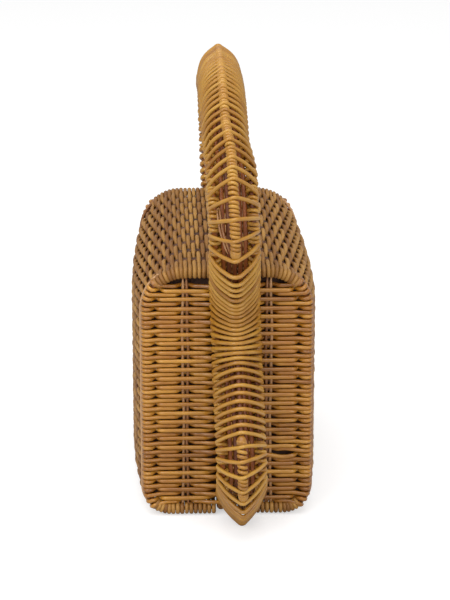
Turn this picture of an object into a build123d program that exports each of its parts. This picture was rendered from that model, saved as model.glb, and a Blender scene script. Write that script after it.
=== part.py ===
"""A rattan handbag: two woven half shells that open like a clam about their bottom seam, under a hoop
handle of ridged section that runs down each end in two lobes. Millimetres, +X along the bag, -Y its front,
+Z up. The origin is on the ground below the middle of the bag."""

from build123d import *
import math
import os

os.makedirs("parts", exist_ok=True)

# Body
BODY_LENGTH = 180.0
BODY_HEIGHT = 160.0
END_DEPTH = 104.0
BELLY_DEPTH = 116.0
ROOF_CROWN = 4.5
TOP_CORNER_RADIUS = 26.0
TOP_CORNER_RADIUS_MIDDLE = 42.0
BOTTOM_CORNER_RADIUS = 18.0

# Seam between the two shells
SEAM_GAP = 0.8
RIM_ROD_RADIUS = 3.0
RIM_SEAT_ABOVE_GROUND = 1.2
RIM_CORNER_CUT = 8.0

# Woven walls
WALL = 3.0
RIDGE_HEIGHT = 1.2
SHELL_RIDGES = 20
SHELL_STATIONS = 4
WEAVE_GAP_LENGTH = 8.0
WEAVE_GAP_WIDTH = 3.6
WEAVE_GAP_ROWS = 3

# Ribs behind the woven shells
RIB_COUNT = 10
RIB_WIDTH = 5.0
RIB_THICKNESS = 2.4

# End frames and end panels
END_FRAME_RADIUS = 4.0
PANEL_WALL = 2.4
PANEL_RIDGE_PITCH = 9.5
PANEL_GAP_HEIGHT = 2.6
PANEL_TOP_GAP = 3.5
STAKE_RADIUS = 1.6
STAKE_SPACING = 4.6

# Lining
LINING_WALL = 1.0

# Handle, seen from the front: heights, bend radii and tilts of the line that its edge rods follow
HANDLE_ABOVE_ROOF = 93.0
SHOULDER_ABOVE_ROOF = 30.0
WAIST_BELOW_ROOF = 32.0
LOBE_ABOVE_GROUND = 52.0
SHOULDER_RADIUS = 27.0
WAIST_RADIUS = 52.0
LOBE_RADIUS = 23.0
UPPER_FLANK_TILT = -33.0
LOWER_FLANK_TILT = 35.0
FOOT_TILT = -60.0
HANDLE_OFFSET = 8.7
HANDLE_LEAN = 1.7

# Handle, in section
HANDLE_WIDTH = 31.0
RIDGE_RISE = 17.0
EDGE_ROD_RADIUS = 1.8
RIDGE_ROD_RADIUS = 2.8
RIDGE_END_SHORT = 11.0
STRAND = 2.4
WRAP_COUNT = 26
WRAP_LENGTH = 10.5

# Hinge loops and catch
HINGE_BAY = 4.0
HINGE_LOOP_LENGTH = 8.0
HINGE_LOOP_WALL = 1.1
CATCH_LENGTH = 18.0
CATCH_HEIGHT = 10.0
CATCH_EDGE = 1.2
MAGNET_LENGTH = 10.0
MAGNET_HEIGHT = 5.0
MAGNET_DEPTH = 2.0

# Fits
CLEARANCE = 0.3
WRAP_FIT = 0.9
PIVOT_FIT = 0.05

# How finely bends are faceted
CORNER_STEPS = 3
ROD_SIDES = 8
EDGE_ROD_SIDES = 6
PIVOT_SIDES = 16
CROWN_STEPS = 4
BEND_STEPS = 5
WAIST_STEPS = 5

# Worked out from the sizes above
rim_y = SEAM_GAP / 2 + RIM_ROD_RADIUS
rim_z_low = RIM_SEAT_ABOVE_GROUND + RIM_ROD_RADIUS
rim_z_high = BODY_HEIGHT - rim_z_low
seam_edge = SEAM_GAP / 2 + 2 * RIM_ROD_RADIUS + CLEARANCE
frame_x = BODY_LENGTH / 2 - END_FRAME_RADIUS
shell_end = BODY_LENGTH / 2 - 2 * END_FRAME_RADIUS - CLEARANCE
rib_inset = RIDGE_HEIGHT + WALL + CLEARANCE / 2
lining_inset = rib_inset + RIB_THICKNESS + CLEARANCE / 2
panel_outer = BODY_LENGTH / 2
panel_inner = panel_outer - RIDGE_HEIGHT - PANEL_WALL
stake_x = panel_inner - CLEARANCE / 2 - STAKE_RADIUS
lining_edge = seam_edge + HINGE_LOOP_WALL + CLEARANCE
edge_rod_y = HANDLE_WIDTH / 2 - STRAND - EDGE_ROD_RADIUS
frame_inside = 2 * END_FRAME_RADIUS + CLEARANCE
panel_half = END_DEPTH / 2
rib_pitch = 2 * shell_end / (RIB_COUNT + 1)
rib_xs = [rib_pitch * (k - (RIB_COUNT - 1) / 2) for k in range(RIB_COUNT)]
hinge_xs = [-HINGE_BAY * rib_pitch, HINGE_BAY * rib_pitch]


def swell_at(x):
    """How far the walls swell at a station along the body, from 0 at its ends to 1 at its middle."""
    return 1 - (x / (BODY_LENGTH / 2)) ** 2


def full_section(x):
    """Half the depth of the body, the height of its roof, and the radius of its top corner."""
    swell = swell_at(x)
    depth = END_DEPTH / 2 + (BELLY_DEPTH - END_DEPTH) / 2 * swell
    top_radius = TOP_CORNER_RADIUS + (TOP_CORNER_RADIUS_MIDDLE - TOP_CORNER_RADIUS) * swell
    return depth, BODY_HEIGHT + ROOF_CROWN * swell, top_radius


station_xs = [shell_end * (2 * k / SHELL_STATIONS - 1) for k in range(SHELL_STATIONS + 1)]
end_section = (END_DEPTH / 2, BODY_HEIGHT, TOP_CORNER_RADIUS)


def section_at(x):
    """The same, straight between the stations where the shell has its sections."""
    span = 2 * shell_end / SHELL_STATIONS
    k = min(SHELL_STATIONS - 1, max(0, int((x + shell_end) // span)))
    share = (x - station_xs[k]) / span
    here, there = full_section(station_xs[k]), full_section(station_xs[k + 1])
    return tuple(a * (1 - share) + b * share for a, b in zip(here, there))


def girth_corners(section, inset):
    """The two rounded corners of a half section in the YZ plane, as centre, radius and start angle."""
    depth, roof, top = section
    low = BOTTOM_CORNER_RADIUS
    return (
        ((depth - top, roof - top), top - inset, 90.0),
        ((depth - low, low), low - inset, 0.0),
    )


def girth_points(section, inset, edge):
    """A half section from the roof's seam edge round to the bottom's, faceted at its corners."""
    points = [(edge, section[1] - inset)]
    for (y, z), radius, start in girth_corners(section, inset):
        for k in range(CORNER_STEPS + 1):
            angle = math.radians(start - 90 * k / CORNER_STEPS)
            points.append((y + radius * math.cos(angle), z + radius * math.sin(angle)))
    points.append((edge, inset))
    return points


def girth_place(section, inset, edge, share):
    """The point and outward angle in degrees at a share of the way round a half section."""
    depth, roof_height, _ = section
    (top_c, top_r, _), (low_c, low_r, _) = girth_corners(section, inset)
    roof = top_c[0] - edge
    bend_top = top_r * math.pi / 2
    front = top_c[1] - low_c[1]
    bend_low = low_r * math.pi / 2
    bottom = low_c[0] - edge
    way = share * (roof + bend_top + front + bend_low + bottom)
    if way <= roof:
        return (edge + way, roof_height - inset), 90.0
    way -= roof
    if way <= bend_top:
        angle = 90.0 - math.degrees(way / top_r)
        turn = math.radians(angle)
        return (top_c[0] + top_r * math.cos(turn), top_c[1] + top_r * math.sin(turn)), angle
    way -= bend_top
    if way <= front:
        return (depth - inset, top_c[1] - way), 0.0
    way -= front
    if way <= bend_low:
        angle = -math.degrees(way / low_r)
        turn = math.radians(angle)
        return (low_c[0] + low_r * math.cos(turn), low_c[1] + low_r * math.sin(turn)), angle
    way -= bend_low
    return (low_c[0] - way, inset), -90.0


def faceted_rod(points, across_flats, sides, x_dir, close=False):
    """A rod with flats, mitred at each bend of its line."""
    with BuildPart() as rod:
        with BuildLine() as line:
            Polyline(*points, close=close)
        with BuildSketch(Plane(origin=line.line @ 0, x_dir=x_dir, z_dir=line.line % 0)):
            RegularPolygon(
                radius=across_flats / 2, side_count=sides, major_radius=False, rotation=180 / sides
            )
        sweep(path=line.line, transition=Transition.RIGHT)
    return rod.part


def write(part, name):
    """One piece to its own file."""
    part.label = name
    export_step(part, f"parts/{name}.step")


def write_both_shells(part, name):
    """A piece of the back shell, and its mirror image in the front one."""
    write(part, f"back_{name}")
    write(mirror(part, about=Plane.XZ), f"front_{name}")


# Seam rim: a rod bent round the open side of each shell, with cut corners and the roof's crown
rim_reach = frame_x
with BuildPart() as seam_rim:
    right_points = [
        (rim_reach - RIM_CORNER_CUT, rim_z_low),
        (rim_reach, rim_z_low + RIM_CORNER_CUT),
        (rim_reach, rim_z_high - RIM_CORNER_CUT),
        (rim_reach - RIM_CORNER_CUT, rim_z_high),
    ]
    roof_points = [(-x, section_at(x)[1] - rim_z_low) for x in station_xs[1:-1]]
    left_points = [(-x, z) for x, z in reversed(right_points)]
    corner_points = [(0, rim_z_low), *right_points, *roof_points, *left_points]
    add(
        faceted_rod(
            [(x, rim_y, z) for x, z in corner_points],
            2 * RIM_ROD_RADIUS,
            ROD_SIDES,
            (0, 1, 0),
            close=True,
        )
    )
write_both_shells(seam_rim.part, "seam_rim")

# Woven shell: ridges run along the bag, and staggered gaps over the ribs show where strands dive
ridge_points = 2 * SHELL_RIDGES
with BuildPart() as shell:
    for x in station_xs:
        outer = []
        for k in range(ridge_points + 1):
            inset = RIDGE_HEIGHT if k % 2 == 0 else 0.0
            (y, z), _ = girth_place(full_section(x), inset, seam_edge, k / ridge_points)
            outer.append((y, z))
        inner = girth_points(full_section(x), RIDGE_HEIGHT + WALL, seam_edge)
        with BuildSketch(Plane.YZ.offset(x)):
            with BuildLine():
                Polyline(*outer, *reversed(inner), close=True)
            make_face()
    loft(ruled=True)
    gap_planes = []
    for rib, x in enumerate(rib_xs):
        for row in range(WEAVE_GAP_ROWS):
            ridge = round((row + 0.5 + 0.5 * (rib % 2)) * SHELL_RIDGES / (WEAVE_GAP_ROWS + 0.5))
            share = (2 * ridge + 1) / ridge_points
            (y, z), angle = girth_place(section_at(x), 0.0, seam_edge, share)
            turn = math.radians(angle)
            facing = (0, math.cos(turn), math.sin(turn))
            gap_planes.append(Plane(origin=(x, y, z), x_dir=(1, 0, 0), z_dir=facing))
    with Locations(*gap_planes):
        Box(WEAVE_GAP_LENGTH, WEAVE_GAP_WIDTH, 3 * (WALL + RIDGE_HEIGHT), mode=Mode.SUBTRACT)
    for x in hinge_xs:
        with Locations((x, seam_edge, 0)):
            Box(
                HINGE_LOOP_LENGTH + 2 * CLEARANCE,
                2 * (HINGE_LOOP_WALL + CLEARANCE),
                2 * (rim_z_low + RIM_ROD_RADIUS),
                mode=Mode.SUBTRACT,
            )
write_both_shells(shell.part, "woven_shell")

# Ribs: flat bands of split cane inside the woven shell
for number, x in enumerate(rib_xs):
    with BuildPart() as rib:
        for edge_x in (x - RIB_WIDTH / 2, x + RIB_WIDTH / 2):
            outer_line = girth_points(section_at(edge_x), rib_inset, seam_edge)
            inner_line = girth_points(section_at(edge_x), rib_inset + RIB_THICKNESS, seam_edge)
            with BuildSketch(Plane.YZ.offset(edge_x)):
                with BuildLine():
                    Polyline(*outer_line, *reversed(inner_line), close=True)
                make_face()
        loft(ruled=True)
    write_both_shells(rib.part, f"rib_{number + 1}")

# End frames: a thick rod round the edge of each end panel
for side, name in ((1, "right"), (-1, "left")):
    frame_line = [
        (side * frame_x, y, z) for y, z in girth_points(end_section, END_FRAME_RADIUS, seam_edge)
    ]
    frame = faceted_rod(frame_line, 2 * END_FRAME_RADIUS, ROD_SIDES, (1, 0, 0))
    write_both_shells(frame, f"end_frame_{name}")

# End panels: a woven wall with level ridges, filling each end frame up to the seam rim
panel_low = frame_inside
panel_high = BODY_HEIGHT - frame_inside - PANEL_TOP_GAP
panel_ridges = int((panel_high - panel_low) // PANEL_RIDGE_PITCH)
ridge_pitch = (panel_high - panel_low) / panel_ridges
panel_edge = seam_edge
stake_y = (panel_edge + panel_half - frame_inside) / 2


def frame_window():
    """A block the shape of the space inside an end frame."""
    with BuildPart() as window:
        with BuildSketch(Plane.YZ.offset(shell_end)):
            with BuildLine():
                Polyline(*girth_points(end_section, frame_inside, 0), close=True)
            make_face()
        extrude(amount=BODY_LENGTH / 2 - shell_end)
    return window.part


with BuildPart() as panel:
    with BuildSketch(Plane.XZ.offset(-panel_edge)):
        with BuildLine():
            face_line = [(panel_inner, panel_high), (panel_inner, panel_low)]
            for k in range(2 * panel_ridges + 1):
                x = panel_outer if k % 2 else panel_outer - RIDGE_HEIGHT
                face_line.append((x, panel_low + k * ridge_pitch / 2))
            Polyline(*face_line, close=True)
        make_face()
    extrude(amount=-(panel_half - frame_inside - panel_edge))
    add(frame_window(), mode=Mode.INTERSECT)
    bay_width = stake_y - panel_edge
    for k in range(1, panel_ridges - 1, 2):
        bay = 1 if k % 4 == 1 else -1
        with Locations((panel_outer, stake_y + bay * bay_width / 2, panel_low + (k + 0.5) * ridge_pitch)):
            Box(3 * (PANEL_WALL + RIDGE_HEIGHT), bay_width * 0.6, PANEL_GAP_HEIGHT, mode=Mode.SUBTRACT)
write_both_shells(panel.part, "end_panel_right")
write_both_shells(mirror(panel.part, about=Plane.YZ), "end_panel_left")

# Stakes: a pair of thin rods standing behind each end panel
with BuildPart() as stakes:
    with BuildSketch(Plane.XY.offset(panel_low)):
        with Locations(
            (stake_x, stake_y - STAKE_SPACING / 2),
            (stake_x, stake_y + STAKE_SPACING / 2),
        ):
            RegularPolygon(radius=STAKE_RADIUS, side_count=ROD_SIDES, rotation=180 / ROD_SIDES)
    extrude(amount=BODY_HEIGHT)
    add(frame_window(), mode=Mode.INTERSECT)
write_both_shells(stakes.part, "stakes_right")
write_both_shells(mirror(stakes.part, about=Plane.YZ), "stakes_left")

# Lining: a thin cloth tray inside the ribs, open at the seam
def lining_form(reach, inset, edge):
    """A solid the shape of the shell's inside, from one end of the lining to the other."""
    with BuildPart() as form:
        for k in range(SHELL_STATIONS + 1):
            x = reach * (2 * k / SHELL_STATIONS - 1)
            with BuildSketch(Plane.YZ.offset(x)):
                with BuildLine():
                    Polyline(*girth_points(section_at(x), inset, edge), close=True)
                make_face()
        loft(ruled=True)
    return form.part


with BuildPart() as lining:
    add(lining_form(shell_end, lining_inset, lining_edge))
    add(
        lining_form(shell_end - LINING_WALL, lining_inset + LINING_WALL, lining_edge - LINING_WALL),
        mode=Mode.SUBTRACT,
    )
write_both_shells(lining.part, "lining")


def outward(tilt):
    """The handle's outward direction in the XZ plane."""
    return math.cos(math.radians(tilt)), math.sin(math.radians(tilt))


def centre_on_flank(tilt, height, radius):
    """Centre of an outer bend of the handle that touches one of the two straight flanks."""
    nx, nz = outward(tilt)
    flank = waist[0] * nx + waist[1] * nz - WAIST_RADIUS
    return (flank - radius - height * nz) / nx, height


# The waist is where the handle lies against the end panels
wrap_below = EDGE_ROD_RADIUS + WRAP_FIT + STRAND
waist = (panel_outer + CLEARANCE + wrap_below + WAIST_RADIUS, BODY_HEIGHT - WAIST_BELOW_ROOF)
shoulder = centre_on_flank(UPPER_FLANK_TILT, BODY_HEIGHT + SHOULDER_ABOVE_ROOF, SHOULDER_RADIUS)
lobe = centre_on_flank(LOWER_FLANK_TILT, LOBE_ABOVE_GROUND, LOBE_RADIUS)

# The crown runs into the shoulders with no kink
handle_top = BODY_HEIGHT + HANDLE_ABOVE_ROOF
crown_reach = handle_top - SHOULDER_RADIUS
crown = (0.0, (shoulder[0] ** 2 + shoulder[1] ** 2 - crown_reach**2) / (2 * (shoulder[1] - crown_reach)))
crown_tilt = math.degrees(math.atan2(shoulder[1] - crown[1], shoulder[0]))

# Each bend: centre, radius signed by its side, first and last tilt, number of facets
handle_bends = [
    (crown, handle_top - crown[1], 90.0, crown_tilt, CROWN_STEPS),
    (shoulder, SHOULDER_RADIUS, crown_tilt, UPPER_FLANK_TILT, BEND_STEPS),
    (waist, -WAIST_RADIUS, UPPER_FLANK_TILT, LOWER_FLANK_TILT, WAIST_STEPS),
    (lobe, LOBE_RADIUS, LOWER_FLANK_TILT, FOOT_TILT, BEND_STEPS),
]


def bend_point(bend, tilt, rise):
    """A point of a bend, raised outwards from the line of the edge rods."""
    (x, z), radius = bend[:2]
    nx, nz = outward(tilt)
    return x + (radius + rise) * nx, z + (radius + rise) * nz


# The foot runs straight in to the panel
foot_nx, foot_nz = outward(FOOT_TILT)
foot_start = bend_point(handle_bends[-1], FOOT_TILT, 0)
foot_length = (foot_start[0] - panel_outer - CLEARANCE - EDGE_ROD_RADIUS * foot_nx) / -foot_nz


def handle_half(rise, short):
    """One half of the handle's line, from the crown's middle down to the foot, as X and Z."""
    points = []
    for bend in handle_bends:
        first, last, steps = bend[2:]
        for k in range(steps + 1):
            points.append(bend_point(bend, first + (last - first) * k / steps, rise))
    x, z = points[-1]
    reach = foot_length - short
    points.append((x + reach * foot_nz, z - reach * foot_nx))
    return [p for k, p in enumerate(points) if k == 0 or math.dist(p, points[k - 1]) > 0.01]


def handle_line(rise, y, short=0.0):
    """The whole line from the left foot over the crown to the right foot."""
    right = handle_half(rise, short)
    left = [(-x, z) for x, z in reversed(right)]
    return [(x, y, z) for x, z in left[:-1] + right]


def wrap_stations():
    """Where each wrap of cane lies on the line of the edge rods: point and tilt, in even steps."""
    runs = []
    for bend in handle_bends:
        first, last = bend[2:4]
        start = bend_point(bend, first, 0)
        if runs:
            runs.append((math.dist(runs[-1][2], start), runs[-1][2], start, None, first, first))
        end = bend_point(bend, last, 0)
        runs.append((abs(bend[1] * math.radians(last - first)), start, end, bend, first, last))
    foot_run = foot_length - RIDGE_END_SHORT
    foot_end = (foot_start[0] + foot_run * foot_nz, foot_start[1] - foot_run * foot_nx)
    runs.append((foot_run, foot_start, foot_end, None, FOOT_TILT, FOOT_TILT))
    half_count = WRAP_COUNT // 2
    pitch = (sum(run[0] for run in runs) - WRAP_LENGTH / 2) / (half_count - 0.5)
    stations = []
    for k in range(half_count):
        way = (k + 0.5) * pitch
        for length, start, end, bend, first, last in runs:
            if way <= length:
                share = way / length
                tilt = first + (last - first) * share
                line_point = tuple(a + (b - a) * share for a, b in zip(start, end))
                stations.append((bend_point(bend, tilt, 0) if bend else line_point, tilt))
                break
            way -= length
    return stations


def lean(part):
    """The handle stands a little behind the middle at its feet, and leans forward."""
    return Pos(0, HANDLE_OFFSET, 0) * Rot(HANDLE_LEAN, 0, 0) * part


# Handle edge rods: the two corners of the band's flat inner side
for y, name in ((-edge_rod_y, "front"), (edge_rod_y, "back")):
    edge_rod = faceted_rod(handle_line(0, y), 2 * EDGE_ROD_RADIUS, EDGE_ROD_SIDES, (0, 1, 0))
    write(lean(edge_rod), f"handle_edge_rod_{name}")

# Handle ridge: the outer rod with the chevron wraps that go from it round both edge rods
inner_half = edge_rod_y + EDGE_ROD_RADIUS + WRAP_FIT
inner_low = -EDGE_ROD_RADIUS - WRAP_FIT
wrap_inner = [
    (-inner_half, inner_low),
    (inner_half, inner_low),
    (inner_half, EDGE_ROD_RADIUS / 2),
    (0, RIDGE_RISE + RIDGE_ROD_RADIUS),
    (-inner_half, EDGE_ROD_RADIUS / 2),
]
wrap_outer = [
    (-inner_half - STRAND, inner_low - STRAND),
    (inner_half + STRAND, inner_low - STRAND),
    (inner_half + STRAND, EDGE_ROD_RADIUS),
    (0, RIDGE_RISE + RIDGE_ROD_RADIUS + 1.4 * STRAND),
    (-inner_half - STRAND, EDGE_ROD_RADIUS),
]
with BuildPart() as ridge:
    ridge_line = handle_line(RIDGE_RISE, 0, RIDGE_END_SHORT)
    add(faceted_rod(ridge_line, 2 * RIDGE_ROD_RADIUS, EDGE_ROD_SIDES, (0, 1, 0)))
    wrap_planes = []
    for (x, z), tilt in wrap_stations():
        nx, nz = outward(tilt)
        for side in (1, -1):
            plane = Plane(origin=(side * x, 0, z), x_dir=(0, side, 0), z_dir=(side * nz, 0, -nx))
            wrap_planes.append(plane)
    with BuildSketch(*wrap_planes):
        with BuildLine():
            Polyline(*wrap_outer, close=True)
        make_face()
        with BuildLine():
            Polyline(*wrap_inner, close=True)
        make_face(mode=Mode.SUBTRACT)
    extrude(amount=WRAP_LENGTH / 2, both=True)
write(lean(ridge.part), "handle_ridge")

# Hinge loops: figure-of-eight bands, tight on the front rim and loose on the back one, which is the pivot
loop_outer = RIM_ROD_RADIUS + HINGE_LOOP_WALL
for number, x in enumerate(hinge_xs):
    with BuildPart() as loop:
        with BuildSketch(Plane.YZ.offset(x)):
            with Locations((0, rim_z_low)):
                Rectangle(2 * rim_y, 2 * loop_outer)
            with Locations((-rim_y, rim_z_low), (rim_y, rim_z_low)):
                RegularPolygon(loop_outer, ROD_SIDES, major_radius=False, rotation=180 / ROD_SIDES)
            with Locations((-rim_y, rim_z_low)):
                RegularPolygon(
                    RIM_ROD_RADIUS,
                    ROD_SIDES,
                    major_radius=False,
                    rotation=180 / ROD_SIDES,
                    mode=Mode.SUBTRACT,
                )
            with Locations((rim_y, rim_z_low)):
                RegularPolygon(
                    RIM_ROD_RADIUS / math.cos(math.pi / ROD_SIDES) + PIVOT_FIT,
                    PIVOT_SIDES,
                    major_radius=False,
                    mode=Mode.SUBTRACT,
                )
        extrude(amount=HINGE_LOOP_LENGTH / 2, both=True)
    write(loop.part, f"hinge_loop_{number + 1}")

# Catch: a block under the top of each rim with a flat magnet let into its seam face
catch_top = rim_z_high + ROOF_CROWN - RIM_ROD_RADIUS - CLEARANCE
with BuildPart() as catch:
    with BuildSketch(Plane.XY.offset(catch_top - CATCH_HEIGHT)):
        with Locations((0, rim_y)):
            Rectangle(CATCH_LENGTH, 2 * RIM_ROD_RADIUS)
    extrude(amount=CATCH_HEIGHT)
    chamfer(catch.edges().filter_by(Axis.Z), length=CATCH_EDGE)
    with Locations((0, SEAM_GAP / 2, catch_top - CATCH_HEIGHT / 2)):
        Box(MAGNET_LENGTH, 2 * MAGNET_DEPTH, MAGNET_HEIGHT, mode=Mode.SUBTRACT)
write_both_shells(catch.part, "catch_block")

with BuildPart() as magnet:
    with Locations((0, SEAM_GAP / 2 + MAGNET_DEPTH / 2, catch_top - CATCH_HEIGHT / 2)):
        Box(MAGNET_LENGTH, MAGNET_DEPTH, MAGNET_HEIGHT)
write_both_shells(magnet.part, "catch_magnet")
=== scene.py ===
import math
import random

import bpy
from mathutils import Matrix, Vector
import numpy as np


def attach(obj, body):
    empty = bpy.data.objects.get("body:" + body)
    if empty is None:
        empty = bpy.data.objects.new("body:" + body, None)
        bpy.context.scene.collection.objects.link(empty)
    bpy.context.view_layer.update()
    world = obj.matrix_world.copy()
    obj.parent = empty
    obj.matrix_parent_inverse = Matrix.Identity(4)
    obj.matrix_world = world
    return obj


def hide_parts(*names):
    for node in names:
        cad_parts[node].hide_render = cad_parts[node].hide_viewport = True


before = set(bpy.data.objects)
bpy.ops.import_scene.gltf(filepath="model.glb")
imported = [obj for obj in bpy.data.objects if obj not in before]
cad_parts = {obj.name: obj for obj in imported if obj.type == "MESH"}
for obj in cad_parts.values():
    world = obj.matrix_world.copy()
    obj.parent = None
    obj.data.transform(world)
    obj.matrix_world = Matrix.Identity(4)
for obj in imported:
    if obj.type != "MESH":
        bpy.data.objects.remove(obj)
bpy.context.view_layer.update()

# Lengths are in millimetres, as in the CAD source, up to the meshes, which are in metres.
MM = 0.001

# Body, as the CAD has it, apart from the rounder corners of the seam rims
BODY_LENGTH = 180.0
BODY_HEIGHT = 160.0
END_DEPTH = 104.0
BELLY_DEPTH = 116.0
ROOF_CROWN = 4.5
TOP_RADIUS = 26.0
TOP_RADIUS_MIDDLE = 42.0
LOW_RADIUS = 18.0
FRAME_RADIUS = 4.0
SEAM_EDGE = 6.7
CLEARANCE = 0.3
RIM_Y = 3.4
RIM_Z_LOW = 4.2
RIM_Z_HIGH = BODY_HEIGHT - RIM_Z_LOW
RIM_CORNER = 4.0
FRAME_X = BODY_LENGTH / 2 - FRAME_RADIUS
SHELL_END = 81.7
RIB_COUNT = 10
RIB_PITCH = 2 * SHELL_END / (RIB_COUNT + 1)
HINGE_X = 4 * RIB_PITCH

# Lining: a cloth tray inside the ribs
LINING_END = 81.4
LINING_EDGE = 8.1
LINING_INSET = 7.2
LINING_FACE_INSET = 0.35
LINING_PUCKER = 0.35
LINING_WALL_EDGE = 5.0
LINING_WALL_LOW = 12.0
LINING_WALL_HIGH = 145.0
LINING_COLUMNS = 61
LINING_ROUNDS = 72
LINING_WALL_STEPS = 14

# Cane
CANE_RADIUS = 1.32
WEAVERS = 84
WAVE = 2.15
DIVE_SHARPNESS = 2.0
RIB_DEPTH = 3.75
RIB_ROD_RADIUS = 0.95
RIB_ROD_APART = 2.3
WRAP_ROUND = 2.62
WRAP_TURN_STEP = 21
POST_CORE_RADIUS = 1.45
WEAVER_STOP = 82.3
WEAVER_STEPS = 92
WEAVER_JITTER = 0.1
INNER_ROD_X = 82.6
INNER_ROD_INSET = 1.25
INNER_ROD_RADIUS = 0.95
INNER_ROD_TURN = math.radians(58)

# Seam rims: the rod, thicker where it stands upright, and the flat cane that binds it
RIM_ROD_RADIUS = 1.7
RIM_UPRIGHT_RADIUS = 2.5
RIM_TURN_PITCH = 2.75
RIM_TURN_ADVANCE = 2.7
RIM_TURN_ROUND = 2.3
RIM_TURN_WIDTH = 1.3
RIM_TURN_THICK = 0.62
RIM_CROWN = 0.93
HINGE_BAY = 5.6

# End panels
ROWS = 51
ROWS_LOW = 8.6
ROWS_HIGH = 148.0
STAKE_Y = 25.2
STAKE_APART = 2.7
STAKE_RADIUS = 0.95
STAKE_X = 85.6
FRONT_X = STAKE_X + STAKE_RADIUS + CANE_RADIUS - 0.3
BEHIND_X = STAKE_X - STAKE_RADIUS - CANE_RADIUS + 0.6
EASED_X = 87.0
LOOSE_Y = 34.5
LOOSE_Z = 39.5
LOOSE_OPENS = 1.4
LOOSE_REACH_Y = 6.0
LOOSE_REACH_Z = 4.5
DIVE_REACH = 6.2
DIVE_EASE = 3.6
ROW_STEPS = 26
ROW_TURN = 118
ROW_EASE = 8.0
ROW_FAN = 2.0
DIP_AT = 4.6
DIP_REACH = 1.9
DIP_DEPTH = 4.6
MIDDLE_X = 82.9
MIDDLE_FROM = 13.5
MIDDLE_EASE = 9.0
STAKE_LOW = 3.0
STAKE_LENGTH = 150.5
POST_X = FRAME_X + WRAP_ROUND

# Handle: its line is as the CAD has it, and its ridge a little lower
HANDLE_ABOVE_ROOF = 93.0
SHOULDER_ABOVE_ROOF = 30.0
WAIST_BELOW_ROOF = 32.0
LOBE_ABOVE_GROUND = 52.0
SHOULDER_RADIUS = 27.0
WAIST_RADIUS = 52.0
LOBE_RADIUS = 23.0
UPPER_TILT = -33.0
LOWER_TILT = 35.0
FOOT_TILT = -60.0
HANDLE_OFFSET = 8.7
HANDLE_LEAN = math.radians(1.7)
EDGE_ROD_RADIUS = 1.8
WRAP_FIT = 0.9
STRAND = 2.4
PANEL_TO_ROD = CLEARANCE + EDGE_ROD_RADIUS + WRAP_FIT + STRAND
RIDGE_RISE = 16.8
EDGE_ROD_Y = 11.3
EDGE_CORE_RADIUS = 1.7
FILLER_RADIUS = 1.5
FILLER_APART = 3.3
FILLER_RISE = -0.6
TIE_RADIUS = 0.6
TIE_SAG = 1.2
EDGE_WRAP_ROUND = 2.95
RIDGE_CORE_RADIUS = 1.3
RIDGE_WRAP_ROUND = 2.3
COIL_PITCH = 2.6
COIL_RADIUS = 1.2
COIL_ADVANCE = 1.6
WRAP_BOW = 1.2
TOP_WRAP_BOW = 2.8
TOP_HALF = 75.0
TOP_FADE = 32.0
TOP_NARROWS = 0.08
TOP_BEND = 2.2
TOP_SINKS = 1.2
WRAP_SLANT = 2.4
RIDGE_COILED = ((0.0, 149.0), (288.0, 308.0))
RIDGE_ROD_SPANS = ((-148.0, 148.0), (228.0, 307.0), (-307.0, -228.0))
KNOB_RADIUS = 3.2
BARE_FROM = 150.0
BARE_TO = 278.0
BARE_ROUND = 5.5
BARE_FADE = 10.0

# Hinge loops
LOOP_STRAND_OFFSETS = (-2.6, 0.0, 2.6)
LOOP_ROUND = 3.5
LOOP_WIDTH = 1.25
LOOP_THICK = 0.45

CHANCE = random.Random(7)


def unit(v):
    """Vectors of length 1."""
    v = np.asarray(v, float)
    return v / np.maximum(np.linalg.norm(v, axis=-1, keepdims=True), 1e-9)


def tangents(line):
    """The direction along a line at each of its points."""
    return unit(np.gradient(np.asarray(line, float), axis=0))


def carried_normals(line, first=None):
    """Normals that turn no more than the line does."""
    along = tangents(line)
    normal = np.array(first if first is not None else (0.31, 0.17, 0.93), float)
    normals = []
    for t in along:
        normal = normal - t * normal.dot(t)
        normal = normal / np.linalg.norm(normal)
        normals.append(normal)
    return np.array(normals)


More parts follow.
